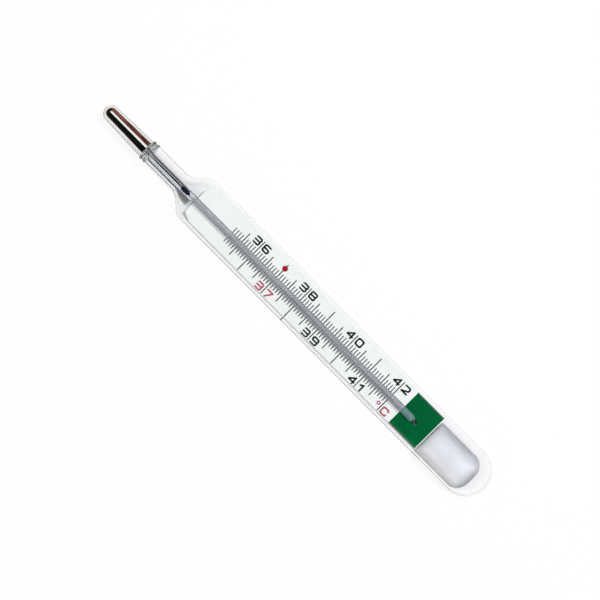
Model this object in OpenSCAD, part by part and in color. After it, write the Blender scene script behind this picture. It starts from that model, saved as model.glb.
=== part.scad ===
// Enclosed-scale clinical thermometer, lying on the flat back of its glass sheath.
// +X runs along the axis from bulb to dome, +Y is the side that the tops of the numerals point to,
// +Z is up, out of the face of the scale. The origin is below the middle, on the surface it lies on.

/* [Glass sheath] */
// Width of the flattened sheath, across the scale
sheath_w = 12; // [11.6:0.1:13]
// Thickness of the flattened sheath, front to back
sheath_t = 8; // [7.6:0.1:9]
// Glass wall of the sheath
sheath_wall = 0.6; // [0.5:0.05:0.7]
// Glass at the very end of the dome
dome_wall = 1.3; // [1:0.1:1.8]
// Air left between the end plug and the inside of the dome
dome_space = 2.2; // [2:0.1:3]
// Outer diameter of the neck
neck_d = 5; // [4.6:0.1:5.4]
// Length of the straight neck
neck_l = 8.5; // [7:0.1:12]
// Slope of the shoulder against the axis
shoulder_angle = 43; // [38:1:50]
// Radius of the hollow curve from the neck to the shoulder
shoulder_hollow_r = 2; // [1.5:0.1:2.5]
// Radius of the round curve from the shoulder to the straight sides
shoulder_round_r = 2.8; // [2.2:0.1:3.2]

/* [Bulb] */
// Length of the bulb, from its tip to the seal ring
bulb_l = 13.4; // [11:0.1:16]
// Diameter of the bulb beside the seal ring
bulb_base_d = 4.7; // [4.5:0.1:4.9]
// Diameter of the bulb at its rounded tip
bulb_tip_d = 4.1; // [3.8:0.1:4.4]
// Glass wall of the bulb
bulb_wall = 0.3; // [0.2:0.05:0.4]
// Length of the fused seal ring between bulb and neck
ring_l = 1.9; // [1.7:0.1:2.4]
// Diameter over the two beads of the seal ring
ring_d = 5.4; // [5.3:0.1:5.8]
// Thickness of each bead of the seal ring
ring_bead = 0.8; // [0.6:0.1:0.8]

/* [Capillary] */
// Outer diameter of the capillary tube
capillary_d = 1.85; // [1.6:0.05:2.1]
// How far the capillary lies off the middle of the sheath, towards the lower numerals
capillary_off = 0.45; // [0.3:0.05:0.6]
// Diameter of the bore that the reading column rises in
bore_d = 0.84; // [0.7:0.02:0.96]
// Diameter of the narrow bore between the bulb and the reading bore
feed_d = 0.4; // [0.32:0.02:0.5]
// Distance from the straight neck to where the narrow bore widens
bore_start = 1.6; // [0.8:0.1:2.2]
// How far the mouth of the capillary reaches into the bulb
mouth_l = 1.2; // [0.8:0.1:2]
// Diameter of the glass pin that narrows the mouth of the feed bore
pin_d = 0.24; // [0.18:0.02:0.26]
// How far that pin reaches into the feed bore
pin_reach = 1.5; // [1:0.1:2.5]
// Diameter of the thin tail that hooks the capillary into the scale plate
tail_d = 0.56; // [0.4:0.02:0.7]
// Bend radius of that tail
tail_bend = 0.5; // [0.45:0.05:0.6]
// Height of the column above the narrow bore when it is shaken down
column_rest_l = 2.6; // [2.4:0.1:5]
// Length of the top of the column, which carries the rounded meniscus
tip_l = 1.9; // [1.5:0.1:2.1]

/* [Scale] */
// Thickness of the scale plate
plate_t = 0.4; // [0.3:0.05:0.5]
// Length of the trimmed corners at the bulb end of the plate
plate_trim_l = 2.4; // [1:0.1:3]
// Width of those trimmed corners
plate_trim_w = 1.1; // [0.5:0.1:1.5]
// Distance from the bulb end of the plate to 35 degrees
scale_start = 10.5; // [9:0.1:14]
// Length of one degree along the scale
degree_pitch = 7.63; // [7.2:0.01:8.4]
// Distance from 42 degrees to the green band
band_gap = 3.9; // [3.4:0.1:5]
// Length of the green band
band_l = 8.5; // [7:0.1:10]
// Bare strip of plate beyond the green band
band_margin = 0.2; // [0.1:0.05:0.5]
// Distance from the start of the green band to the hole for the tail
hole_at = 4.3; // [3.5:0.1:5]
// Diameter of that hole
hole_d = 1.1; // [1:0.05:1.3]
// How far the print lies off the middle of the plate, towards the lower numerals
print_off = 0.26; // [0.1:0.02:0.3]
// Width of the tenth-degree lines
tenth_line_w = 0.22; // [0.12:0.01:0.26]
// Width of the half-degree and degree lines
main_line_w = 0.25; // [0.14:0.01:0.3]
// How far the tenth-degree lines reach from the middle of the print
tenth_reach = 2.2; // [1.9:0.05:2.4]
// How far the half-degree lines reach from the middle of the print
half_reach = 3.45; // [2.8:0.05:3.8]
// Bare strip between the degree lines and the edge of the plate
line_margin = 0.4; // [0.35:0.05:0.6]
// Bare strip between the tenth-degree lines and the numerals
numeral_gap = 0.35; // [0.2:0.05:0.5]
// Width of a numeral
numeral_w = 1.95; // [1.6:0.05:2.2]
// Width of a numeral's stroke
stroke_w = 0.42; // [0.2:0.02:0.46]
// Bare strip between a numeral and its degree line
numeral_side = 0.46; // [0.3:0.02:0.6]
// Diameter of the red dot at 37 degrees
dot_d = 1.4; // [1:0.1:1.6]
// Diameter of the ring of the degree sign
ring_sign_d = 1; // [0.8:0.05:1.1]
// Length across the plate of the mark on the sheath at 38 degrees
mark_l = 0.9; // [0.5:0.1:1.2]

/* [End plug] */
// Length of the end plug
plug_l = 14.2; // [12:0.1:18]
// Space that the plug leaves beside it, on the side of the numeral tops
plug_side_space = 1.4; // [0.8:0.1:2]
// Space above the plug and below it
plug_face_space = 0.3; // [0.25:0.05:0.5]
// How much wider the round of the plug's two end corners is than the round of its long edges
plug_corner = 0.3; // [0.1:0.1:1.2]

/* [Hidden] */
$fn = 64;
FIRST_DEGREE = 35;
LAST_DEGREE = 42;
DOT_DEGREE = 37;
MARK_DEGREE = 38;
TENTHS = 10;
ARC_STEPS = 10;

// Clearances
fused_gap = 0.02;
plate_clear = 0.1;
plug_clear = 0.05;
bore_clear = 0.05;
feed_clear = 0.03;
dot_clear = 0.02;
// How far the lines run in under the edge of the capillary
line_under = 0.35;
// Thickness of the printed ink
ink_t = 0.03;
// How round the ends of a narrow slot inside a numeral are, where 1 would be a half round
slot_round = 0.85;
// How far the round of the shoulder stands outside the straight sides that it cuts
shoulder_blend = 0.3;
// Overshoot of a cut past the face that it opens
past = 1;

// Sheath
axis_z = sheath_t / 2;
cavity_w = sheath_w - 2 * sheath_wall;
cavity_t = sheath_t - 2 * sheath_wall;
sheath_r = sheath_w / 2 + shoulder_blend;
neck_r = neck_d / 2;
shoulder_l = (sheath_r - neck_r) / tan(shoulder_angle)
    + (shoulder_hollow_r + shoulder_round_r) * tan(shoulder_angle / 2);

// Plate and scale
plate_l = scale_start + (LAST_DEGREE - FIRST_DEGREE) * degree_pitch + band_gap + band_l + band_margin;
capillary_r = capillary_d / 2;
plate_top = -(capillary_r + ink_t + fused_gap);
plate_bottom = plate_top - plate_t;
plate_w = cavity_w - cavity_t + 2 * sqrt(pow(cavity_t / 2, 2) - pow(plate_bottom, 2)) - 2 * plate_clear;
degree_reach = plate_w / 2 - line_margin;
numeral_low = tenth_reach + numeral_gap;
numeral_h = degree_reach - numeral_low;
line_start = capillary_r - line_under;
line_shift = capillary_off - print_off;
dot_y = half_reach;
ring_sign_stroke = 0.7 * stroke_w;

// Stations along the axis
overall_l = bulb_l + ring_l + neck_l + shoulder_l + plate_l + plug_clear + plug_l + dome_space + dome_wall;
x_tip = -overall_l / 2;
x_ring = x_tip + bulb_l;
x_neck = x_ring + ring_l;
x_shoulder = x_neck + neck_l;
x_plate = x_shoulder + shoulder_l;
x_plate_end = x_plate + plate_l;
x_plug = x_plate_end + plug_clear;
x_end = overall_l / 2;
x_mouth = x_ring - mouth_l;
x_bore = x_shoulder + bore_start;
x_column_top = x_bore + column_rest_l;
x_band = x_plate_end - band_margin - band_l;
x_hole = x_band + hole_at;
x_capillary_end = x_hole - tail_bend - fused_gap;

// Bulb
bulb_tip_r = bulb_tip_d / 2;
bulb_base_r = bulb_base_d / 2;
column_r = bore_d / 2 - bore_clear;
feed_r = feed_d / 2 - feed_clear;
pin_foot = sqrt(pow(bulb_tip_r - bulb_wall, 2) - pow(capillary_off + pin_d / 2, 2));

// Plug
plug_w = cavity_w - plug_clear - plug_side_space;
plug_t = cavity_t - 2 * plug_face_space;
plug_y = (plug_clear - plug_side_space) / 2;
plug_corner_r = plug_t / 2 + plug_corner;

function degree_x(t) = x_plate + scale_start + (t - FIRST_DEGREE) * degree_pitch;
function arc(x, r, radius, from, to) =
    [for (i = [0:ARC_STEPS]) let (a = from + (to - from) * i / ARC_STEPS) [r + radius * cos(a), x + radius * sin(a)]];

echo(str("overall length ", overall_l, ", column travel ", degree_x(LAST_DEGREE) - x_column_top));

// Everything is built about the axis of the sheath and then lifted onto the surface
module on_axis() {
    translate([0, 0, axis_z]) children();
}

// The capillary, what it holds and the holes for it lie beside that axis
module beside_axis() {
    translate([0, -capillary_off, 0]) children();
}

// Solid of revolution about the axis, from points of radius and place along the axis
module turned(points) {
    rotate([0, 90, 0]) rotate_extrude() polygon(points);
}

module rod(d, from, to) {
    translate([from, 0, 0]) rotate([0, 90, 0]) cylinder(d = d, h = to - from);
}

// Bar of oval section along the axis, with flat front and back
module oval_bar(w, t, from, to) {
    translate([to, 0, 0]) rotate([90, 0, -90]) linear_extrude(to - from) {
        square([w - t, t], center = true);
        for (side = [-1, 1]) translate([side * (w - t) / 2, 0]) circle(d = t);
    }
}

// Half of an oval bar's section, out to the reach from an upright axis
module half_section(t, reach) {
    translate([0, -t / 2]) square([reach - t / 2, t]);
    translate([reach - t / 2, 0]) intersection() {
        circle(d = t);
        translate([0, -t / 2]) square(t);
    }
}

// Rounded end of an oval bar: its section swept round two corners and straight between them
module round_end(w, t, corner_r, at) {
    side_y = w / 2 - corner_r;
    for (turn = [-90, 0])
        translate([at, turn < 0 ? -side_y : side_y, 0]) rotate(turn) rotate_extrude(angle = 90)
            half_section(t, corner_r);
    if (side_y > 0) translate([at, side_y, 0]) rotate([90, 0, 0]) linear_extrude(2 * side_y)
        half_section(t, corner_r);
}

// Outer form of the sheath at inset 0, or its cavity at the inset of the wall
module sheath_form(inset, from, end) {
    w = sheath_w - 2 * inset;
    t = sheath_t - 2 * inset;
    x_dome = end - w / 2;
    intersection() {
        oval_bar(w, t, from, x_dome);
        turned(concat(
            [[0, from], [neck_r - inset, from]],
            arc(x_shoulder, neck_r + shoulder_hollow_r, shoulder_hollow_r + inset, 180, 180 - shoulder_angle),
            arc(x_plate, sheath_r - shoulder_round_r, shoulder_round_r - inset, -shoulder_angle, 0),
            [[sheath_r - inset, x_dome + past], [0, x_dome + past]]
        ));
    }
    round_end(w, t, w / 2, x_dome);
}

module glass_sheath() {
    color([0.86, 0.92, 0.93, 0.3]) on_axis() difference() {
        sheath_form(0, x_neck, x_end);
        sheath_form(sheath_wall, x_neck - past, x_end - dome_wall);
    }
}

// Thimble form of the bulb, drawn in by the inset, with its mouth at to
module bulb_form(inset, to) {
    tip_r = bulb_tip_r - inset;
    turned(concat(
        [[0, to], [bulb_base_r - inset, to], [bulb_base_r - inset, x_ring]],
        arc(x_tip + bulb_tip_r, 0, tip_r, 0, -90)
    ));
}

module bulb_glass() {
    color([0.85, 0.9, 0.92, 0.3]) on_axis() difference() {
        bulb_form(0, x_ring);
        bulb_form(bulb_wall, x_ring + past);
    }
}

module seal_ring() {
    bead_r = ring_bead / 2;
    color([0.7, 0.73, 0.74, 0.6]) on_axis() difference() {
        union() {
            rod(neck_d, x_ring, x_neck);
            for (x = [x_ring + bead_r, x_neck - bead_r])
                translate([x, 0, 0]) rotate([0, 90, 0]) rotate_extrude()
                    translate([ring_d / 2 - bead_r, 0]) circle(d = ring_bead);
        }
        beside_axis() rod(capillary_d + 2 * fused_gap, x_ring - past, x_neck + past);
    }
}

module bulb_filling() {
    color([0.72, 0.72, 0.74]) on_axis() difference() {
        bulb_form(bulb_wall + fused_gap, x_ring + past);
        rod(bulb_base_d, x_ring - fused_gap, x_ring + 2 * past);
        beside_axis() rod(capillary_d + 2 * fused_gap, x_mouth - fused_gap, x_ring + past);
        beside_axis() rod(pin_d + 2 * fused_gap, x_tip, x_ring);
    }
}

// Glass pin that stands on the floor of the bulb and all but fills the mouth of the feed bore
module constriction_pin() {
    color([0.8, 0.85, 0.86, 0.5]) on_axis() beside_axis()
        rod(pin_d, x_tip + bulb_tip_r - pin_foot + fused_gap, x_mouth + pin_reach);
}

module capillary_tube() {
    color([0.82, 0.85, 0.86, 0.6]) on_axis() beside_axis() {
        difference() {
            union() {
                rod(capillary_d, x_mouth, x_capillary_end - capillary_r);
                translate([x_capillary_end - capillary_r, 0, 0]) sphere(d = capillary_d);
                capillary_tail();
            }
            rod(feed_d, x_mouth - past, x_bore + past);
            rod(bore_d, x_bore, x_capillary_end - capillary_r);
        }
    }
}

// Thin tail of the capillary, bent down through the hole in the plate
module capillary_tail() {
    rod(tail_d, x_capillary_end - capillary_r / 2, x_hole - tail_bend);
    translate([x_hole - tail_bend, 0, -tail_bend]) rotate([90, 0, 0]) rotate_extrude(angle = 90)
        translate([tail_bend, 0]) circle(d = tail_d);
    translate([x_hole, 0, plate_bottom - plate_t]) cylinder(d = tail_d, h = plate_t - plate_bottom - tail_bend);
}

module feed_thread() {
    color([0.35, 0.35, 0.38]) on_axis() beside_axis()
        rod(2 * feed_r, x_mouth + pin_reach + fused_gap, x_bore);
}

module column_thread() {
    color([0.3, 0.3, 0.36]) on_axis() beside_axis()
        rod(2 * column_r, x_bore + fused_gap, x_column_top - tip_l);
}

module column_tip() {
    color([0.3, 0.3, 0.36]) on_axis() beside_axis() {
        rod(2 * column_r, x_column_top - tip_l + fused_gap, x_column_top - column_r);
        translate([x_column_top - column_r, 0, 0]) sphere(r = column_r);
    }
}

module scale_plate() {
    half = plate_w / 2;
    color([0.93, 0.94, 0.93]) on_axis() difference() {
        translate([0, 0, plate_bottom]) linear_extrude(plate_t) polygon([
            [x_plate, -half + plate_trim_w], [x_plate + plate_trim_l, -half],
            [x_plate_end, -half], [x_plate_end, half],
            [x_plate + plate_trim_l, half], [x_plate, half - plate_trim_w]
        ]);
        beside_axis() translate([x_hole, 0, plate_bottom - past]) cylinder(d = hole_d, h = plate_t + 2 * past);
    }
}

// Layer of ink on the face of the plate
module ink() {
    translate([0, 0, axis_z + plate_top]) linear_extrude(ink_t) children();
}

// Lines and figures in that layer
module printed() {
    translate([0, -print_off, 0]) ink() children();
}

module green_band() {
    color([0.0, 0.36, 0.19]) ink() difference() {
        translate([x_band, -plate_w / 2]) square([band_l, plate_w]);
        beside_axis() translate([x_hole, 0]) circle(d = hole_d);
    }
}

// Pair of lines across the plate, above and below the capillary, at one temperature
module line_pair(t, w, reach) {
    for (side = [-1, 1])
        translate([degree_x(t) - w / 2, side > 0 ? line_start - line_shift : -reach])
            square([w, reach - line_start + side * line_shift]);
}

module tenth_degree_lines() {
    color([0.15, 0.15, 0.16]) printed()
        for (i = [1:(LAST_DEGREE - FIRST_DEGREE) * TENTHS])
            if (i % (TENTHS / 2) != 0) line_pair(FIRST_DEGREE + i / TENTHS, tenth_line_w, tenth_reach);
}

module half_degree_lines() {
    color([0.15, 0.15, 0.16]) printed()
        for (t = [FIRST_DEGREE:LAST_DEGREE - 1]) line_pair(t + 0.5, main_line_w, half_reach);
}

// The dot replaces a stretch of its degree line
module degree_lines() {
    color([0.12, 0.12, 0.13]) printed() difference() {
        for (t = [FIRST_DEGREE + 1:LAST_DEGREE]) line_pair(t, main_line_w, degree_reach);
        translate([degree_x(DOT_DEGREE), dot_y]) circle(d = dot_d + 2 * dot_clear);
    }
}

module normal_dot() {
    color([0.68, 0.08, 0.12]) printed() translate([degree_x(DOT_DEGREE), dot_y]) circle(d = dot_d);
}

// Box with round corners, from its lower left corner
module round_box(w, h, r) {
    translate([0, r]) square([w, h - 2 * r]);
    translate([r, 0]) square([w - 2 * r, h]);
    for (x = [r, w - r], y = [r, h - r]) translate([x, y]) circle(r = r);
}

// Closed loop of a stroke's width with round corners
module loop(h) {
    r = numeral_h / 4;
    inner_r = min(r - stroke_w / 2, slot_round * (h / 2 - stroke_w));
    difference() {
        round_box(numeral_w, h, r);
        translate([stroke_w, stroke_w]) round_box(numeral_w - 2 * stroke_w, h - 2 * stroke_w, inner_r);
    }
}

// Two loops that share their middle bar, as in an eight
module two_loops() {
    loop_h = (numeral_h + stroke_w) / 2;
    loop(loop_h);
    translate([0, numeral_h - loop_h]) loop(loop_h);
}

// Straight stroke between two points, cut square
module stroke(a, b) {
    d = b - a;
    translate(a) rotate(atan2(d[1], d[0])) translate([0, -stroke_w / 2]) square([norm(d), stroke_w]);
}

// Opening in the left or right side of a loop, between two heights
module side_cut(right, from, to) {
    depth = 1.4 * stroke_w;
    translate([right ? numeral_w - depth : -past, from]) square([depth + past, to - from]);
}

module digit(n) {
    half = stroke_w / 2;
    low = stroke_w;
    mid = numeral_h / 2;
    top = numeral_h - stroke_w;
    if (n == 0) loop(numeral_h);
    if (n == 1) {
        stem_x = 0.45 * numeral_w;
        flag_foot = [0.12 * numeral_w, 0.66 * numeral_h];
        translate([stem_x, 0]) square([stroke_w, numeral_h]);
        stroke(flag_foot, [stem_x + half, numeral_h - half]);
    }
    if (n == 2) {
        difference() {
            loop(numeral_h);
            translate([-past, -past]) square([numeral_w + 2 * past, mid + past]);
            side_cut(false, mid - past, top);
        }
        translate([numeral_w - half, mid]) circle(d = stroke_w);
        stroke([half, half], [numeral_w - half, mid]);
        square([numeral_w, stroke_w]);
    }
    if (n == 3) difference() {
        two_loops();
        side_cut(false, low, mid - half);
        side_cut(false, mid + half, top);
    }
    if (n == 4) {
        stem_x = 0.66 * numeral_w;
        bar_y = 0.22 * numeral_h;
        translate([stem_x, 0]) square([stroke_w, numeral_h]);
        translate([0, bar_y]) square([numeral_w, stroke_w]);
        stroke([half / 2, bar_y + half], [stem_x + half, numeral_h - half]);
    }
    if (n == 6) {
        loop((numeral_h + stroke_w) / 2);
        difference() {
            loop(numeral_h);
            side_cut(true, mid - half, top);
        }
    }
    if (n == 7) {
        foot_x = 0.24 * numeral_w;
        translate([0, top]) square([numeral_w, stroke_w]);
        stroke([foot_x, 0], [numeral_w - half, top + half]);
    }
    if (n == 8) two_loops();
    if (n == 9) translate([numeral_w, numeral_h]) rotate(180) digit(6);
}

// Two digits, one on each side of the degree line
module numeral(t, above) {
    y = above ? numeral_low : -numeral_low - numeral_h;
    translate([degree_x(t) - numeral_side - numeral_w, y]) digit(floor(t / 10));
    translate([degree_x(t) + numeral_side, y]) digit(t % 10);
}

module black_numerals() {
    color([0.12, 0.12, 0.13]) printed() {
        for (t = [FIRST_DEGREE + 1:2:LAST_DEGREE]) numeral(t, true);
        for (t = [DOT_DEGREE + 2:2:LAST_DEGREE]) numeral(t, false);
    }
}

module red_numerals() {
    y = -numeral_low - numeral_h;
    opening = 0.28 * numeral_h;
    color([0.72, 0.12, 0.18]) printed() {
        numeral(DOT_DEGREE, false);
        translate([degree_x(LAST_DEGREE) + numeral_side, y]) difference() {
            loop(numeral_h);
            side_cut(true, (numeral_h - opening) / 2, (numeral_h + opening) / 2);
        }
        translate([degree_x(LAST_DEGREE) - numeral_side - ring_sign_d / 2, -numeral_low - ring_sign_d / 2])
            difference() {
                circle(d = ring_sign_d);
                circle(d = ring_sign_d - 2 * ring_sign_stroke);
            }
    }
}

// Short line of ink on the side of the sheath, which shows whether the scale has slipped
module position_mark() {
    x = degree_x(MARK_DEGREE) - main_line_w / 2;
    y_out = sheath_w / 2 - ink_t;
    color([0.2, 0.2, 0.21]) on_axis() intersection() {
        difference() {
            oval_bar(sheath_w + 2 * ink_t, sheath_t + 2 * ink_t, x, x + main_line_w);
            oval_bar(sheath_w + ink_t / 2, sheath_t + ink_t / 2, x - past, x + past);
        }
        translate([x - past, -y_out, 0]) cube([2 * past, mark_l, sheath_t / 2 - ink_t]);
    }
}

module end_plug() {
    x_round = x_plug + plug_l - plug_corner_r;
    color([0.93, 0.93, 0.95]) on_axis() translate([0, plug_y, 0]) {
        oval_bar(plug_w, plug_t, x_plug, x_round);
        round_end(plug_w, plug_t, plug_corner_r, x_round);
    }
}

glass_sheath();
bulb_glass();
seal_ring();
bulb_filling();
constriction_pin();
capillary_tube();
feed_thread();
column_thread();
column_tip();
scale_plate();
green_band();
tenth_degree_lines();
half_degree_lines();
degree_lines();
black_numerals();
red_numerals();
normal_dot();
position_mark();
end_plug();
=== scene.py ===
from math import cos, pi, radians, sin, sqrt

import bmesh
import bpy
from mathutils import Euler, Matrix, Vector


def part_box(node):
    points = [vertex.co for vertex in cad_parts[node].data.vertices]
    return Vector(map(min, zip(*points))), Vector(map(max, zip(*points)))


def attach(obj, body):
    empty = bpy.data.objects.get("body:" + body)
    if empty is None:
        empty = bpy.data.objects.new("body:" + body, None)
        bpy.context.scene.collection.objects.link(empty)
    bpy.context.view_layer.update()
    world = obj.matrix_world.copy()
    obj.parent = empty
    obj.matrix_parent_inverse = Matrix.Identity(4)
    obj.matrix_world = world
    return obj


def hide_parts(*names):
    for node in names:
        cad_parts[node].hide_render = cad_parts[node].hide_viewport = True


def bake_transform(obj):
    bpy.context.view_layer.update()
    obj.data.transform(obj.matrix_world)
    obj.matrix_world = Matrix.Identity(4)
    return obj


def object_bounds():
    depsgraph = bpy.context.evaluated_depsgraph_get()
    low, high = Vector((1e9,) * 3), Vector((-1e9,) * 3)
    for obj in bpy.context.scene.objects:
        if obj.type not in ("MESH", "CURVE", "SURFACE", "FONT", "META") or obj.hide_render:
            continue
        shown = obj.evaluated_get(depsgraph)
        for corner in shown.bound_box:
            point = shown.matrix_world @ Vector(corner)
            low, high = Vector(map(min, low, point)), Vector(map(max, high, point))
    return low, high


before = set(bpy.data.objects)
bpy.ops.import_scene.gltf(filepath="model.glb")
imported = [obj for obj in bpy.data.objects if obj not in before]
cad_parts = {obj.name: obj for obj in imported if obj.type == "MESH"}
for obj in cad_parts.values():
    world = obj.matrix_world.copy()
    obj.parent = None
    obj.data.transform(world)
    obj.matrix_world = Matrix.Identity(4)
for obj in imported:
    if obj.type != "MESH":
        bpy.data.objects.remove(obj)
cad_low, cad_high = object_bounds()

# Bulb glass: a thin thimble of clear glass, blown closed at the tip and a little wider at the collar.
# It is drawn from the same tube as the neck and fused to the seal ring.
MM = 0.001
POLE = 1e-6
MERGE = 2.5 * POLE
AXIS_Z = (cad_low.z + cad_high.z) / 2
bulb_low, bulb_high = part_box("bulb_glass")
bulb_tip_r = 1.99 * MM
bulb_base_r = 2.35 * MM
bulb_wall = 0.3 * MM


def quarter_turn(steps):
    """Angles from 0 to 90 degrees, both included."""
    return [pi / 2 * i / steps for i in range(steps + 1)]


def add_ring(mesh, sides, x, y, half_w, half_t):
    """A round ring across the axis, its two halves moved apart into an oval with flat front and back."""
    half_w, half_t = max(half_w, POLE), max(half_t, POLE)
    bpy.ops.mesh.select_all(action="DESELECT")
    bpy.ops.mesh.primitive_circle_add(
        vertices=sides, radius=half_t, location=(x, y, AXIS_Z), rotation=(0, pi / 2, 0))
    spread = half_w - half_t
    if spread < POLE:
        return
    bm = bmesh.from_edit_mesh(mesh)
    ring = [v for v in bm.verts if v.select]
    for side in (-1, 1):
        for v in ring:
            v.select = side * (v.co.y - y) > POLE
        bm.select_flush_mode()
        bmesh.update_edit_mesh(mesh)
        bpy.ops.transform.translate(value=(0, side * spread, 0))


def skin(name, stations, sides=64, closed=False, y=0.0, crease=40):
    """A piece drawn over rings, each given as place and radius, or as place, half width and thickness."""
    bpy.ops.object.select_all(action="DESELECT")
    bpy.ops.mesh.primitive_circle_add(vertices=sides, radius=MM)
    piece = bpy.context.object
    piece.name = piece.data.name = name
    mesh = piece.data
    bpy.ops.object.mode_set(mode="EDIT")
    bpy.context.tool_settings.mesh_select_mode = (True, False, False)
    bpy.ops.mesh.delete(type="VERT")
    for x, half_w, *half_t in stations:
        add_ring(mesh, sides, x, y, half_w, *(half_t or [half_w]))
    count = len(stations)
    for k in range(count if closed else count - 1):
        bm = bmesh.from_edit_mesh(mesh)
        joined = (k, (k + 1) % count)
        for i, v in enumerate(bm.verts):
            v.select = i // sides in joined
        bm.select_flush_mode()
        bmesh.update_edit_mesh(mesh)
        bpy.ops.mesh.bridge_edge_loops()
    bpy.ops.mesh.select_all(action="SELECT")
    bpy.ops.mesh.remove_doubles(threshold=MERGE)
    bpy.ops.mesh.normals_make_consistent(inside=False)
    bpy.ops.object.mode_set(mode="OBJECT")
    bpy.ops.object.shade_smooth_by_angle(angle=radians(crease))
    return piece


def round_tip(x_tip, radius):
    """Rings of a half-round tip that points towards the bulb end, from its pole to its full radius."""
    return [(x_tip + radius * (1 - cos(a)), radius * sin(a)) for a in quarter_turn(12)]


def wire(tree, socket, value):
    """Feeds a socket from another node's output, or sets it to a plain number or colour."""
    if isinstance(value, bpy.types.NodeSocket):
        tree.links.new(value, socket)
    elif isinstance(value, tuple):
        socket.default_value = (*value, 1)
    else:
        socket.default_value = value


def ramp(tree, value, begin, finish, low=0.0, high=1.0, smooth=False):
    """A value that goes from low to high while another goes from begin to finish; returns its output."""
    node = tree.nodes.new("ShaderNodeMapRange")
    if smooth:
        node.interpolation_type = "SMOOTHSTEP"
    tree.links.new(value, node.inputs["Value"])
    node.inputs["From Min"].default_value = begin
    node.inputs["From Max"].default_value = finish
    wire(tree, node.inputs["To Min"], low)
    wire(tree, node.inputs["To Max"], high)
    return node.outputs["Result"]


def noise(tree, place, scale, detail):
    """A cloudy pattern over the given coordinates; returns its output."""
    node = tree.nodes.new("ShaderNodeTexNoise")
    tree.links.new(place, node.inputs["Vector"])
    wire(tree, node.inputs["Scale"], scale)
    node.inputs["Detail"].default_value = detail
    return node.outputs["Fac"]


def stretch(tree, place, scale):
    """Coordinates scaled along each axis, which draws a pattern out; returns their output."""
    node = tree.nodes.new("ShaderNodeMapping")
    node.inputs["Scale"].default_value = scale
    tree.links.new(place, node.inputs["Vector"])
    return node.outputs["Vector"]


def blend_colours(tree, share, first, second):
    """The first colour, turned into the second to the given share; returns its output."""
    node = tree.nodes.new("ShaderNodeMix")
    node.data_type = "RGBA"
    tree.links.new(share, node.inputs["Factor"])
    wire(tree, node.inputs["A"], first)
    wire(tree, node.inputs["B"], second)
    return node.outputs["Result"]


def new_group(name, inputs):
    """A surface group that puts out colour, roughness and height; returns it with its input and output."""
    group = bpy.data.node_groups.new(name, "ShaderNodeTree")
    for socket, kind in inputs:
        group.interface.new_socket(socket, in_out="INPUT", socket_type=kind)
    for socket, kind in (("Color", COLOR), ("Roughness", FLOAT), ("Height", FLOAT)):
        group.interface.new_socket(socket, in_out="OUTPUT", socket_type=kind)
    return group, group.nodes.new("NodeGroupInput").outputs, group.nodes.new("NodeGroupOutput").inputs


# Drawn glass has faint lengthwise streaks from the drawing, a slow waviness and a few smudges from handling.
COLOR, FLOAT = "NodeSocketColor", "NodeSocketFloat"
glass_group, given, out = new_group(
    "drawn_glass",
    [("Clear", COLOR), ("Streak", COLOR), ("Streak Scale", FLOAT), ("Wave Scale", FLOAT), ("Smudge", FLOAT)])
place = glass_group.nodes.new("ShaderNodeTexCoord").outputs["Object"]
streaks = noise(glass_group, stretch(glass_group, place, (0.03, 1, 1)), scale=given["Streak Scale"], detail=3)
streaks = ramp(glass_group, streaks, begin=0.42, finish=0.72)
wire(glass_group, out["Color"], blend_colours(glass_group, streaks, given["Clear"], given["Streak"]))
waves = noise(glass_group, stretch(glass_group, place, (0.3, 1, 1)), scale=given["Wave Scale"], detail=1)
wire(glass_group, out["Height"], waves)
smudges = noise(glass_group, place, scale=420, detail=4)
wire(glass_group, out["Roughness"], ramp(glass_group, smudges, begin=0.55, finish=0.8, high=given["Smudge"]))


def new_material(name):
    """A material with its node tree and main shader at hand."""
    material = bpy.data.materials.new(name)
    material.use_nodes = True
    return material, material.node_tree, material.node_tree.nodes["Principled BSDF"]


def add_group(tree, group, values):
    """Places a surface group in a material, with the material's own values."""
    node = tree.nodes.new("ShaderNodeGroup")
    node.node_tree = group
    for name, value in values.items():
        wire(tree, node.inputs[name], value)
    return node.outputs


def dress(tree, shader, surface, colour, relief):
    """Gives the shader its colour, and the roughness and relief of a surface group."""
    bump = tree.nodes.new("ShaderNodeBump")
    bump.inputs["Distance"].default_value = relief
    wire(tree, bump.inputs["Height"], surface["Height"])
    wire(tree, shader.inputs["Base Color"], colour)
    wire(tree, shader.inputs["Roughness"], surface["Roughness"])
    wire(tree, shader.inputs["Normal"], bump.outputs["Normal"])


def add_rim(tree, colour, rim, begin, full):
    """The colour, turned into the rim's where the surface turns away from the eye; returns its output."""
    turning = tree.nodes.new("ShaderNodeLayerWeight")
    turning.inputs["Blend"].default_value = 0.5
    return blend_colours(tree, ramp(tree, turning.outputs["Facing"], begin, full, smooth=True), colour, rim)


def show_either(tree, share, first, second):
    """The surface shows the first shader, or the second to the given share."""
    either = tree.nodes.new("ShaderNodeMixShader")
    tree.links.new(share, either.inputs["Fac"])
    tree.links.new(first, either.inputs[1])
    tree.links.new(second, either.inputs[2])
    tree.links.new(either.outputs["Shader"], tree.nodes["Material Output"].inputs["Surface"])


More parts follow.
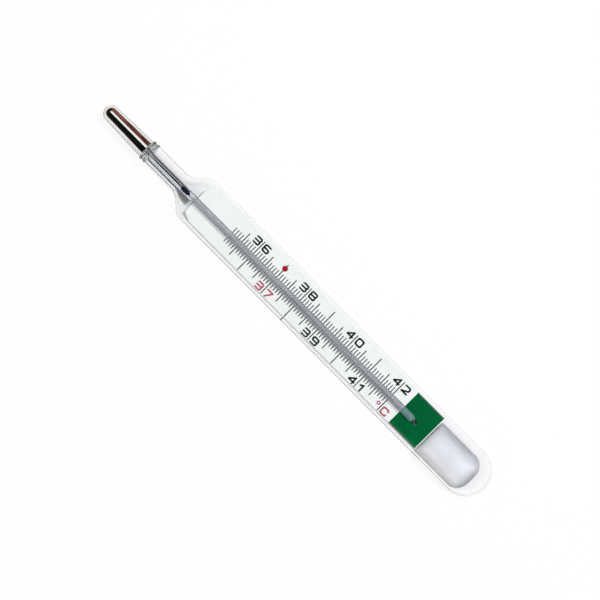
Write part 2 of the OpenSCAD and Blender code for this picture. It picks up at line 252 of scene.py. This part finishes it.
def glass(name, clear, streak, rim, rim_range, streak_scale, wave_scale, smudge, wave_depth, passes_light,
          transmission=1.0, edge_light=0.3, bends_light=1.47):
    """Drawn glass with a darker rim, partly from the longer path through the glass there and partly painted
    shade, which lets lamp light through to what it holds.
    """
    material, tree, shader = new_material(name)
    drawn = add_group(tree, glass_group, {
        "Clear": clear, "Streak": streak, "Streak Scale": streak_scale, "Wave Scale": wave_scale,
        "Smudge": smudge})
    dress(tree, shader, drawn, add_rim(tree, drawn["Color"], rim, *rim_range), wave_depth)
    shader.inputs["IOR"].default_value = bends_light
    shader.inputs["Transmission Weight"].default_value = transmission
    let_through = tree.nodes.new("ShaderNodeBsdfTransparent")
    passed = add_rim(tree, passes_light, (edge_light,) * 3, begin=0.4, full=0.9)
    wire(tree, let_through.inputs["Color"], passed)
    light_path = tree.nodes.new("ShaderNodeLightPath").outputs
    show_either(tree, light_path["Is Shadow Ray"], shader.outputs["BSDF"], let_through.outputs["BSDF"])
    return material


def put_on(piece, material):
    """The piece, or the node that stays in view, wears this material all over."""
    piece.data.materials.clear()
    piece.data.materials.append(material)


clear_glass = glass(
    "clear_bulb_glass", clear=(0.98, 0.985, 0.97), streak=(0.93, 0.94, 0.92), rim=(0.42, 0.45, 0.41),
    rim_range=(0.2, 0.85), streak_scale=900, wave_scale=260, smudge=0.03, wave_depth=0.02 * MM,
    passes_light=(0.95, 0.96, 0.96))
outside = round_tip(bulb_low.x, bulb_tip_r) + [(bulb_high.x, bulb_base_r)]
inside = round_tip(bulb_low.x + bulb_wall, bulb_tip_r - bulb_wall) + [(bulb_high.x, bulb_base_r - bulb_wall)]
bulb_glass = skin("bulb_thimble", outside + inside[::-1])
put_on(bulb_glass, clear_glass)
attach(bulb_glass, "instrument")
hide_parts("bulb_glass")

# Bulb filling: bright liquid metal that fills the thimble to the collar and wets its wall without a gap.
# Its surface takes the shape of the glass, with slight ripples from the blown wall.
wetting = 0.12 * MM
filling_tip_r = bulb_tip_r - bulb_wall + wetting
filling_base_r = bulb_base_r - bulb_wall + wetting
filling_end = bulb_high.x - 0.05 * MM
filling = skin("bulb_metal", round_tip(bulb_low.x + bulb_wall - wetting, filling_tip_r)
               + [(filling_end, filling_base_r), (filling_end, 0)])

metal_group, given, out = new_group(
    "liquid_metal_skin", [("Bright", COLOR), ("Dull", COLOR), ("Film", FLOAT)])
place = metal_group.nodes.new("ShaderNodeTexCoord").outputs["Object"]
along = stretch(metal_group, place, (0.25, 1, 1))
film = ramp(metal_group, noise(metal_group, along, scale=700, detail=5), begin=0.45, finish=0.75)
wire(metal_group, out["Color"], blend_colours(metal_group, film, given["Bright"], given["Dull"]))
wire(metal_group, out["Roughness"], ramp(metal_group, film, begin=0, finish=1, high=given["Film"]))
wire(metal_group, out["Height"], noise(metal_group, along, scale=300, detail=1))


def liquid_metal(name, bright, dull, film, ripple, metallic=1.0):
    """Mirror metal with a thin film where it has stood against the glass."""
    material, tree, shader = new_material(name)
    surface = add_group(tree, metal_group, {"Bright": bright, "Dull": dull, "Film": film})
    dress(tree, shader, surface, surface["Color"], ripple)
    shader.inputs["Metallic"].default_value = metallic
    return material


bright_metal = liquid_metal(
    "bright_liquid_metal", bright=(0.92, 0.91, 0.9), dull=(0.84, 0.83, 0.83), film=0.06, ripple=0.06 * MM)
put_on(filling, bright_metal)
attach(filling, "instrument")
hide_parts("bulb_filling")

# Constriction pin: a hair of glass that stands in the bulb and chokes the mouth of the feed bore.
# It is fused to the floor of the bulb and hidden by the metal.
pin_glass = glass(
    "pin_glass", clear=(0.98, 1.0, 0.99), streak=(0.94, 0.97, 0.96), rim=(0.6, 0.63, 0.62),
    rim_range=(0.55, 0.9), streak_scale=4000, wave_scale=800, smudge=0.03, wave_depth=0.005 * MM,
    passes_light=(0.95, 0.96, 0.96))
put_on(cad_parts["constriction_pin"], pin_glass)

# Seal ring: the collar of glass where bulb, capillary and neck were fused in the flame.
# Two soft beads stand proud of the neck, with a waist between them.
# The hole for the capillary is a little off centre.
ring_low, ring_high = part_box("seal_ring")
capillary_low, capillary_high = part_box("capillary_tube")
capillary_y = (capillary_low.y + capillary_high.y) / 2
bead_r = 0.4 * MM
bead_top = (ring_high.y - ring_low.y) / 2
bead_steps = 10
waist_r = 2.5 * MM
ring_bore = 0.96 * MM
NEAR = 1.1


def bead(x):
    """Rings over one rounded bead, centred at x."""
    hub = bead_top - bead_r
    angles = [pi * i / bead_steps for i in range(1, bead_steps)]
    return [(x - bead_r * cos(a), hub + bead_r * sin(a)) for a in angles]


def off_axis(point, y=0.0):
    """How far a point is from the lengthwise line at y."""
    return (point - Vector((point.x, y, AXIS_Z))).length


collar = skin("seal_collar", [
    (ring_low.x, waist_r - bead_r), *bead(ring_low.x + bead_r),
    ((ring_low.x + ring_high.x) / 2, waist_r),
    *bead(ring_high.x - bead_r), (ring_high.x, waist_r - bead_r),
    (ring_high.x, ring_bore), (ring_low.x, ring_bore)], closed=True)
bpy.ops.object.mode_set(mode="EDIT")
bm = bmesh.from_edit_mesh(collar.data)
for v in bm.verts:
    v.select = off_axis(v.co) < NEAR * ring_bore
bm.select_flush_mode()
bmesh.update_edit_mesh(collar.data)
bpy.ops.transform.translate(value=(0, capillary_y, 0))
bpy.ops.object.mode_set(mode="OBJECT")
fused_glass = glass(
    "fused_glass", clear=(0.86, 0.89, 0.87), streak=(0.68, 0.73, 0.7), rim=(0.3, 0.34, 0.32),
    rim_range=(0.35, 0.85), streak_scale=1500, wave_scale=300, smudge=0.06, wave_depth=0.012 * MM,
    passes_light=(0.8, 0.82, 0.82), bends_light=1.2)
put_on(collar, fused_glass)
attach(collar, "instrument")
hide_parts("seal_ring")

# Capillary: a thick-walled glass tube with a fine feed bore in the neck and a wider bore under the scale.
# Its far end is melted round and drawn into a thin tail, which is bent down through the hole in the plate.
thread_low, thread_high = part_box("feed_thread")
band_low, band_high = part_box("green_band")
capillary_r = (capillary_high.y - capillary_low.y) / 2
bore_r = 0.42 * MM
feed_r = 0.2 * MM
funnel = 0.4 * MM
tail_r = 0.28 * MM
tail_bend = 0.5 * MM
bend_x = capillary_high.x - tail_r - tail_bend
bend_z = AXIS_Z - tail_bend
tube_end = bend_x - 0.02 * MM
tail_start = tube_end - capillary_r / 2
bore_x = thread_high.x
bore_end = tube_end - capillary_r - bore_r
grey_from = -33 * MM

end_dome = [(tube_end - capillary_r * (1 - cos(a)), capillary_r * sin(a)) for a in quarter_turn(12)]
wall = end_dome + [(x, capillary_r) for x in (grey_from, ring_high.x, capillary_low.x)]
bore = [(capillary_low.x, feed_r), (bore_x, feed_r), (bore_x + funnel, bore_r)]
bore += [(bore_end + bore_r * sin(a), bore_r * cos(a)) for a in quarter_turn(8)]
capillary = skin("capillary", wall + bore, y=capillary_y)

bpy.ops.object.select_all(action="DESELECT")
bpy.ops.mesh.primitive_circle_add(
    vertices=32, radius=tail_r, location=(tail_start, capillary_y, AXIS_Z), rotation=(0, pi / 2, 0))
tail = bpy.context.object
tail.name = tail.data.name = "capillary_tail"
bpy.ops.object.transform_apply(location=True, rotation=True, scale=True)
bpy.ops.object.mode_set(mode="EDIT")
bpy.ops.mesh.select_all(action="SELECT")
bpy.ops.mesh.extrude_edges_move(TRANSFORM_OT_translate={"value": (bend_x - tail_start, 0, 0)})
bpy.ops.mesh.spin(steps=10, angle=-pi / 2, center=(bend_x, capillary_y, bend_z), axis=(0, 1, 0))
bpy.ops.mesh.extrude_edges_move(TRANSFORM_OT_translate={"value": (0, 0, capillary_low.z - bend_z)})
bpy.ops.mesh.edge_face_add()
bpy.ops.mesh.select_all(action="SELECT")
bpy.ops.mesh.remove_doubles(threshold=MERGE)
bpy.ops.mesh.fill_holes(sides=0)
bpy.ops.mesh.select_all(action="SELECT")
bpy.ops.mesh.normals_make_consistent(inside=False)
bpy.ops.object.mode_set(mode="OBJECT")
bpy.ops.object.shade_smooth_by_angle(angle=radians(40))

# The capillary's grey colour is mostly painted shade, standing in for the shadow the tube casts on the plate
# beneath it, which this glass lets mostly through.
capillary_glass = glass(
    "capillary_glass", clear=(0.6, 0.62, 0.65), streak=(0.34, 0.36, 0.39), rim=(0.26, 0.28, 0.31),
    rim_range=(0.66, 0.92), streak_scale=2600, wave_scale=500, smudge=0.04, wave_depth=0.002 * MM,
    passes_light=(0.86, 0.865, 0.87), transmission=0.84, edge_light=0.35, bends_light=1.1)
# The neck's capillary has its rim painted nearly black, painted shade for the dark lines along its edges.
neck_glass = glass(
    "neck_capillary_glass", clear=(0.93, 0.94, 0.99), streak=(0.8, 0.82, 0.9), rim=(0.04, 0.04, 0.05),
    rim_range=(0.3, 0.62), streak_scale=2600, wave_scale=500, smudge=0.04, wave_depth=0.002 * MM,
    passes_light=(0.05, 0.05, 0.055), edge_light=0.04)
bore_glass = glass(
    "bore_glass", clear=(0.97, 0.975, 0.98), streak=(0.9, 0.91, 0.92), rim=(0.8, 0.81, 0.82),
    rim_range=(0.55, 0.9), streak_scale=3000, wave_scale=500, smudge=0.04, wave_depth=0.002 * MM,
    passes_light=(0.9, 0.9, 0.91))
mouth_glass = glass(
    "mouth_glass", clear=(0.97, 0.975, 0.98), streak=(0.9, 0.91, 0.92), rim=(0.8, 0.81, 0.82),
    rim_range=(0.55, 0.9), streak_scale=3000, wave_scale=500, smudge=0.04, wave_depth=0.002 * MM,
    passes_light=(0.9, 0.9, 0.91), bends_light=1.1)
# The tail's glass is painted dark, shade for the shadowed hole in the plate that it stands in.
painted_dark_tail_glass = glass(
    "painted_dark_tail_glass", clear=(0.2, 0.24, 0.23), streak=(0.1, 0.12, 0.12), rim=(0.01, 0.015, 0.013),
    rim_range=(0.3, 0.8), streak_scale=2600, wave_scale=500, smudge=0.03, wave_depth=0.002 * MM,
    passes_light=(0.1, 0.1, 0.1))


def axes_of(tree):
    """The place on a piece, one output for each axis."""
    split = tree.nodes.new("ShaderNodeSeparateXYZ")
    tree.links.new(tree.nodes.new("ShaderNodeTexCoord").outputs["Object"], split.inputs["Vector"])
    return split.outputs


def tint_over(tree, share, colour):
    """Lays a colour over the one that the main shader has, to the given share."""
    base = tree.nodes["Principled BSDF"].inputs["Base Color"]
    tree.links.new(blend_colours(tree, share, base.links[0].from_socket, colour), base)


# Over the green band the tube's colour turns green, painted green light from the band, and beside the print
# its lower flank is painted with a thin dark line of shade.
tree = capillary_glass.node_tree
at = axes_of(tree)
band_edge = 0.3 * MM
tint_over(tree, ramp(tree, at["X"], band_low.x - band_edge, band_low.x + band_edge), (0.54, 0.79, 0.84))
# Painted shade: a thin dark line along the tube's lower flank.
beside_print = ramp(tree, at["X"], begin=-24 * MM, finish=-18 * MM)
painted_shade_flank = ramp(tree, at["Y"], begin=capillary_y - 0.8 * capillary_r, finish=capillary_y - 0.95 * capillary_r,
             high=beside_print, smooth=True)
tint_over(tree, painted_shade_flank, (0.02, 0.022, 0.025))

put_on(capillary, capillary_glass)
bpy.ops.object.select_all(action="DESELECT")
bpy.context.view_layer.objects.active = capillary
bpy.ops.object.mode_set(mode="EDIT")
for slot, material in enumerate((neck_glass, bore_glass, mouth_glass), start=1):
    capillary.data.materials.append(material)
    bm = bmesh.from_edit_mesh(capillary.data)
    for face in bm.faces:
        middle = face.calc_center_median()
        in_collar = middle.x < ring_high.x
        in_bore = off_axis(middle, capillary_y) < NEAR * bore_r and middle.x < bore_end + bore_r
        in_neck = middle.x < grey_from
        face.select = slot == (3 if in_collar else 2 if in_bore else 1 if in_neck else 0)
    bmesh.update_edit_mesh(capillary.data)
    capillary.active_material_index = slot
    bpy.ops.object.material_slot_assign()
bpy.ops.object.mode_set(mode="OBJECT")
put_on(tail, painted_dark_tail_glass)
for piece in (capillary, tail):
    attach(piece, "instrument")
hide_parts("capillary_tube")

# Reading column: the liquid metal in the bores. A hair-thin feed thread stands in the neck, the column
# lengthens behind its rounded top, and the top rises with temperature.
top_low, top_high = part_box("column_tip")
wets = 0.005 * MM
wet_bore_r = bore_r + wets
wet_feed_r = feed_r + wets
thread_sides = 32
thread_rings = 24
join_x = top_low.x + 0.3 * MM

feed = skin(
    "feed_thread_metal",
    [(thread_low.x, 0), (thread_low.x, wet_feed_r), (bore_x, wet_feed_r), (bore_x, 0)],
    sides=thread_sides, y=capillary_y)
thread_metal = liquid_metal(
    "thread_liquid_metal", bright=(0.85, 0.85, 0.86), dull=(0.5, 0.5, 0.53), film=0.1, ripple=0.06 * MM)
put_on(feed, thread_metal)
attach(feed, "instrument")
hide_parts("feed_thread")

spans = [bore_x + (join_x - bore_x) * i / thread_rings for i in range(1, thread_rings + 1)]
column = skin(
    "column_thread_metal",
    [(bore_x, 0), (bore_x, wet_feed_r)]
    + [(x, min(wet_bore_r, wet_feed_r + (x - bore_x))) for x in spans]
    + [(join_x, 0)], sides=thread_sides, y=capillary_y)
# The column's dark navy is a painted dark reflection: it is the same liquid metal as in the bulb, coloured as
# it looks when it mirrors dark surroundings.
painted_dark_column_metal = liquid_metal(
    "column_liquid_metal", bright=(0.1, 0.11, 0.19), dull=(0.05, 0.055, 0.095), film=0.25, ripple=0.01 * MM,
    metallic=0.4)
put_on(column, painted_dark_column_metal)
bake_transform(column)
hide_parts("column_thread")

meniscus = [(top_high.x - wet_bore_r * (1 - cos(a)), wet_bore_r * sin(a)) for a in quarter_turn(8)]
column_top = skin(
    "column_top_metal", meniscus + [(top_low.x, wet_bore_r), (top_low.x, 0)],
    sides=thread_sides, y=capillary_y)
put_on(column_top, painted_dark_column_metal)
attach(column_top, "column_top")
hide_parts("column_tip")

# Scale plate: a thin strip of opaque white plate, cut to slide into the sheath, with a hole for the tail.
# Its face is smooth and lightly glossy, with the faint mottle of opal glass.
coat_group, given, out = new_group(
    "even_coat",
    [("Colour", COLOR), ("Mottle", COLOR), ("Grain Scale", FLOAT), ("Smooth", FLOAT), ("Rough", FLOAT)])
place = coat_group.nodes.new("ShaderNodeTexCoord").outputs["Object"]
cloud = ramp(coat_group, noise(coat_group, place, scale=240, detail=4), begin=0.35, finish=0.7)
wire(coat_group, out["Color"], blend_colours(coat_group, cloud, given["Colour"], given["Mottle"]))
grain = noise(coat_group, place, scale=given["Grain Scale"], detail=3)
wire(coat_group, out["Height"], grain)
gloss = ramp(coat_group, grain, begin=0, finish=1, low=given["Smooth"], high=given["Rough"])
wire(coat_group, out["Roughness"], gloss)


def coat(name, colour, mottle, grain_scale, smooth, rough, grain_depth, shine=0.3):
    """An opaque, even surface with faint mottle and fine grain."""
    material, tree, shader = new_material(name)
    surface = add_group(tree, coat_group, {
        "Colour": colour, "Mottle": mottle, "Grain Scale": grain_scale, "Smooth": smooth, "Rough": rough})
    dress(tree, shader, surface, surface["Color"], grain_depth)
    shader.inputs["Specular IOR Level"].default_value = shine
    return material


opal_white = coat(
    "opal_white_plate", colour=(0.82, 0.835, 0.83), mottle=(0.79, 0.81, 0.8), grain_scale=2500, smooth=0.25,
    rough=0.4, grain_depth=0.004 * MM)
put_on(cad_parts["scale_plate"], opal_white)

# Green band: satin paint over the far end of the plate.
# It is brushed on before the capillary's tail is hooked into the hole there.
green_paint = coat(
    "green_paint", colour=(0.0, 0.104, 0.03), mottle=(0.0, 0.088, 0.024), grain_scale=4000, smooth=0.35,
    rough=0.5, grain_depth=0.006 * MM, shine=0.1)
put_on(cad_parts["green_band"], green_paint)

# Graduation, figures and dot: thin layers of ink, screen printed on the plate.
# The density of the ink is a little uneven. Only 37, the Celsius sign and the dot at 37 degrees are red.


def ink(name, colour, mottle, shine):
    """Dull printing ink."""
    return coat(name, colour, mottle, grain_scale=9000, smooth=0.45, rough=0.65, grain_depth=0.004 * MM,
                shine=shine)


black_ink = ink("black_ink", (0.006, 0.0065, 0.007), (0.016, 0.017, 0.018), shine=0.05)
red_ink = ink("red_ink", (0.38, 0.085, 0.13), (0.44, 0.11, 0.16), shine=0.1)
dot_ink = ink("dot_ink", (0.3, 0.008, 0.016), (0.35, 0.015, 0.025), shine=0.1)
for node in ("tenth_degree_lines", "half_degree_lines", "degree_lines", "black_numerals"):
    put_on(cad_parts[node], black_ink)
put_on(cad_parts["red_numerals"], red_ink)
put_on(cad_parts["normal_dot"], dot_ink)

# End plug: a soft white stopper with rounded end corners that keeps the plate from sliding up into the dome.
# It lies against one side of the sheath. Its colour has painted light on the side it leans on, and painted
# shade towards its free side and its free end.
plug_low, plug_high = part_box("end_plug")
plug_y = (plug_low.y + plug_high.y) / 2
plug_w = (plug_high.y - plug_low.y) / 2
plug_t = (plug_high.z - plug_low.z) / 2
slope = 3.0 * MM
front_w = 4.6 * MM
front_t = 1.0 * MM
corner = 3.4 * MM
flat_end_t = 0.6 * MM
slope_x = plug_low.x + slope
corner_x = plug_high.x - corner
side_steps = 6
stations = [(plug_low.x, 0)]
for a in quarter_turn(10):
    stations.append((slope_x - slope * cos(a), front_w + (plug_w - front_w) * sin(a),
                     front_t + (plug_t - front_t) * sin(a)))
for i in range(1, side_steps):
    stations.append((slope_x + (corner_x - slope_x) * i / side_steps, plug_w, plug_t))
for a in quarter_turn(14):
    stations.append((corner_x + corner * sin(a), plug_w - corner * (1 - cos(a)),
                     flat_end_t + (plug_t - flat_end_t) * cos(a)))
stations.append((plug_high.x, 0))
plug = skin("end_stopper", stations, y=plug_y, crease=60)


def math_node(tree, operation, first, second):
    """A sum on one output and on another output or a plain number; returns its output."""
    node = tree.nodes.new("ShaderNodeMath")
    node.operation = operation
    tree.links.new(first, node.inputs[0])
    wire(tree, node.inputs[1], second)
    return node.outputs["Value"]


soft_white = coat(
    "soft_white_plug", colour=(0.75, 0.745, 0.8), mottle=(0.68, 0.675, 0.74), grain_scale=1800, smooth=0.4,
    rough=0.55, grain_depth=0.02 * MM)
tree = soft_white.node_tree
at = axes_of(tree)
# Painted light on the leaning side, and painted shade towards the free side and the free end.
painted_light_leaning_side = ramp(tree, at["Y"], begin=plug_y - 0.4 * plug_w, finish=plug_low.y)
tint_over(tree, painted_light_leaning_side, (0.99, 0.98, 1))
painted_shade_free_side = ramp(tree, at["Y"], begin=plug_y + 0.2 * plug_w, finish=plug_high.y, smooth=True)
painted_shade_free_end = ramp(tree, at["X"], begin=corner_x, finish=plug_high.x, smooth=True)
tint_over(tree, math_node(tree, "MAXIMUM", painted_shade_free_side, painted_shade_free_end), (0.36, 0.36, 0.4))
shader = tree.nodes["Principled BSDF"]
shader.inputs["Subsurface Weight"].default_value = 1
shader.inputs["Subsurface Radius"].default_value = (1, 1, 1)
shader.inputs["Subsurface Scale"].default_value = 8 * MM
put_on(plug, soft_white)
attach(plug, "instrument")
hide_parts("end_plug")

# Glass sheath: a flattened tube of clear glass, drawn in to the neck at the bulb end and closed in a dome.
# It is slipped over the plate and fused to the seal ring.
sheath_low, sheath_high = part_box("glass_sheath")
sheath_w = (sheath_high.y - sheath_low.y) / 2
sheath_t = (sheath_high.z - sheath_low.z) / 2
sheath_wall = 0.6 * MM
dome_wall = 1.3 * MM
neck_r = 2.5 * MM
shoulder_start = -38.2 * MM
shoulder_end = -32.2 * MM
late_flare = 1.15
mouth_slant = 1 / 6
sheath_steps = 24
neck_steps = 6


def flare(share):
    """How far the shoulder has opened, from 0 at the neck to 1 at the straight sides."""
    t = share ** late_flare
    return t * t * (3 - 2 * t)


def sheath_skin(inset, dome_end):
    """Rings of the sheath's outside, or of its inside at the inset of the wall, from the dome to the neck."""
    w, t, r = sheath_w - inset, sheath_t - inset, neck_r - inset
    dome_x = dome_end - w
    flat_r = w - t
    mouth = sheath_low.x + inset * mouth_slant
    rings = []
    for a in reversed(quarter_turn(sheath_steps)):
        reach = w * sin(a)
        half_t = sqrt(max(t ** 2 - max(reach - flat_r, 0) ** 2, 0))
        rings.append((dome_x + reach, w * cos(a), min(half_t, w * cos(a))))
    for i in range(1, sheath_steps):
        rings.append((dome_x + (shoulder_end - dome_x) * i / sheath_steps, w, t))
    for i in range(sheath_steps + 1):
        share = 1 - i / sheath_steps
        x = shoulder_start + (shoulder_end - shoulder_start) * share
        rings.append((x, r + (w - r) * flare(share), r + (t - r) * flare(share)))
    for i in range(1, neck_steps + 1):
        rings.append((shoulder_start + (mouth - shoulder_start) * i / neck_steps, r))
    return rings


sheath_outside = sheath_skin(0, sheath_high.x)
sheath_inside = sheath_skin(sheath_wall, sheath_high.x - dome_wall)
sheath = skin("glass_sheath_tube", sheath_outside + sheath_inside[::-1], sides=96)
sheath_glass = glass(
    "clear_sheath_glass", clear=(0.99, 0.993, 0.995), streak=(0.965, 0.97, 0.975), rim=(0.88, 0.885, 0.9),
    rim_range=(0.55, 0.9), streak_scale=500, wave_scale=120, smudge=0.02, wave_depth=0.006 * MM,
    passes_light=(0.97, 0.975, 0.975), edge_light=0.8, bends_light=1.25)
put_on(sheath, sheath_glass)
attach(sheath, "instrument")
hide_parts("glass_sheath")

# Position mark: one short line of ink on the outside of the sheath, level with 38 degrees.
# It is printed last, and a scale that has slipped no longer lines up with it.
put_on(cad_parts["position_mark"], black_ink)

# Floor: a plain white sheet of paper under the thermometer, which keeps its soft shadow.
# Glass and metal see a painted glow on it: full on the lit side beside the thermometer and under the dome,
# weaker on the shaded side beside the scale, and elsewhere under it its real shade.
floor_drop = 0.15 * MM
white_seen = 0.93
white_mirrored = 0.6
shaded_mirrored = 0.35
under_edge = 1 * MM
full_glow_edge = 3 * MM
NO_BOUNCE = 0.5
bpy.ops.object.select_all(action="DESELECT")
bpy.ops.mesh.primitive_plane_add(size=6, location=(0, 0, -floor_drop))
floor = bpy.context.object
floor.name = "floor"
white_floor, tree, shader = new_material("white_floor")
shader.inputs["Base Color"].default_value = (0.75, 0.75, 0.755, 1)
shader.inputs["Roughness"].default_value = 0.9
shader.inputs["Specular IOR Level"].default_value = 0
white_glow = tree.nodes.new("ShaderNodeEmission")
light_path = tree.nodes.new("ShaderNodeLightPath").outputs
at = axes_of(tree)
# Painted light: the glow that glass and metal see is stronger on the lit side than on the shaded side.
lit_side = ramp(tree, at["Y"], under_edge, full_glow_edge, high=white_mirrored)
under_scale = ramp(tree, at["X"], shoulder_start, shoulder_end)
shaded_side = ramp(tree, at["Y"], -under_edge, -full_glow_edge, high=shaded_mirrored)
under_dome = ramp(tree, at["X"], plug_low.x, slope_x, high=white_mirrored)
painted_glow = math_node(tree, "MULTIPLY", under_scale, shaded_side)
painted_glow = math_node(tree, "MAXIMUM", painted_glow, lit_side)
painted_glow = math_node(tree, "MAXIMUM", painted_glow, under_dome)
mirrored = math_node(tree, "MAXIMUM", light_path["Is Glossy Ray"], light_path["Is Transmission Ray"])
unlit = math_node(tree, "LESS_THAN", light_path["Diffuse Depth"], NO_BOUNCE)
mirrored = math_node(tree, "MULTIPLY", mirrored, unlit)
mirrored = math_node(tree, "MULTIPLY", mirrored, painted_glow)
direct = math_node(tree, "MULTIPLY", light_path["Is Camera Ray"], white_seen)
white_share = math_node(tree, "MAXIMUM", direct, mirrored)
show_either(tree, white_share, shader.outputs["BSDF"], white_glow.outputs["Emission"])
put_on(floor, white_floor)

# Reflection cards: a black and a brown card lean beside the thermometer, a dark one stands past its dome
# and a grey one hangs over its scale. They put the dark stripes into the bright metal and keep the sky's
# glare off the glass, and nothing but reflections sees them.
card_distance = 0.3


def card(name, colour, patches, angles, span, turned=0.0):
    """A patchy card along the thermometer between two angles from straight overhead, counted towards +Y."""
    low, high = (Vector((0, sin(radians(a)), cos(radians(a)))) * card_distance for a in angles)
    length = span[1] - span[0]
    bpy.ops.object.select_all(action="DESELECT")
    bpy.ops.mesh.primitive_plane_add(
        size=1, location=(low + high) / 2 + Vector((sum(span) / 2, 0, 0)),
        rotation=(-radians(sum(angles) / 2), 0, 0))
    made = bpy.context.object
    made.name = name
    made.scale = (length, (high - low).length, 1)
    made.location.rotate(Euler((0, 0, turned)))
    made.rotation_euler.z = turned
    made.visible_camera = False
    made.visible_diffuse = False
    made.visible_shadow = False
    material, tree, _ = new_material(name)
    place = stretch(tree, tree.nodes.new("ShaderNodeTexCoord").outputs["Object"], (length, 0.03, 1))
    spots = ramp(tree, noise(tree, place, scale=130, detail=2), begin=0.4, finish=0.6)
    tone = tree.nodes.new("ShaderNodeEmission")
    wire(tree, tone.inputs["Color"], blend_colours(tree, spots, colour, patches))
    open_air = tree.nodes.new("ShaderNodeBsdfTransparent")
    light_path = tree.nodes.new("ShaderNodeLightPath").outputs
    unlit = math_node(tree, "LESS_THAN", light_path["Diffuse Depth"], NO_BOUNCE)
    show_either(tree, unlit, open_air.outputs["BSDF"], tone.outputs["Emission"])
    put_on(made, material)


card("black_card", (0.006, 0.005, 0.004), (0.01, 0.01, 0.011), angles=(-78, 4), span=(-0.6, 0.075))
card("brown_card", (0.28, 0.11, 0.07), (0.045, 0.01, 0.016), angles=(30, 89.8), span=(-0.6, -0.065))
card("end_card", (0.03, 0.02, 0.018), (0.015, 0.01, 0.01), angles=(40, 88), span=(-0.2, 0.2), turned=pi / 2)
card("grey_card", (0.03, 0.03, 0.03), (0.04, 0.04, 0.04), angles=(4, 86), span=(-0.065, 0.075))

# Light: a white room, which is dimmer as a light than as a background, and one soft round lamp.
# The lamp hangs nearly overhead and is itself not seen, nor mirrored in the metal and the glass.
room_light = 0.19
world = bpy.data.worlds.new("white_room")
bpy.context.scene.world = world
world.use_nodes = True
tree = world.node_tree
room = tree.nodes["Background"]
room.inputs["Color"].default_value = (1, 1, 1, 1)
light_path = tree.nodes.new("ShaderNodeLightPath").outputs
seen = math_node(tree, "MAXIMUM", light_path["Is Camera Ray"], light_path["Is Glossy Ray"])
seen = math_node(tree, "MAXIMUM", seen, light_path["Is Transmission Ray"])
unlit = math_node(tree, "LESS_THAN", light_path["Diffuse Depth"], NO_BOUNCE)
seen = math_node(tree, "MULTIPLY", seen, unlit)
wire(tree, room.inputs["Strength"], ramp(tree, seen, begin=0, finish=1, low=room_light))

lamp = bpy.data.lights.new("soft_lamp", "AREA")
lamp.shape = "DISK"
lamp.size = 0.09
lamp.energy = 8.2
lamp_object = bpy.data.objects.new("soft_lamp", lamp)
lamp_object.location = (0.06, 0.3, 0.8)
lamp_object.rotation_euler = (-lamp_object.location).to_track_quat("-Z", "Y").to_euler()
lamp_object.visible_camera = False
lamp_object.visible_glossy = False
lamp_object.visible_transmission = False
bpy.context.scene.collection.objects.link(lamp_object)

# Camera: straight above the scale, turned so that the bulb points to the upper left.
# Its long lens stands where the square picture spans the field at the height of the axis.
field = 138.5 * MM
turn = radians(45.2)
image_side = 600
aim_right, aim_up = 4.9, -1.7
lens, sensor = 150, 36
camera = bpy.data.cameras.new("camera")
camera.lens = lens
camera.sensor_width = sensor
right = Vector((cos(turn), sin(turn), 0))
up = Vector((-sin(turn), cos(turn), 0))
height = Vector((0, 0, AXIS_Z + field * lens / sensor))
camera_object = bpy.data.objects.new("camera", camera)
camera_object.location = (right * aim_right + up * aim_up) * field / image_side + height
camera_object.rotation_euler = (0, 0, turn)
bpy.context.scene.collection.objects.link(camera_object)
bpy.context.scene.camera = camera_object
bpy.context.scene.view_settings.view_transform = "Standard"
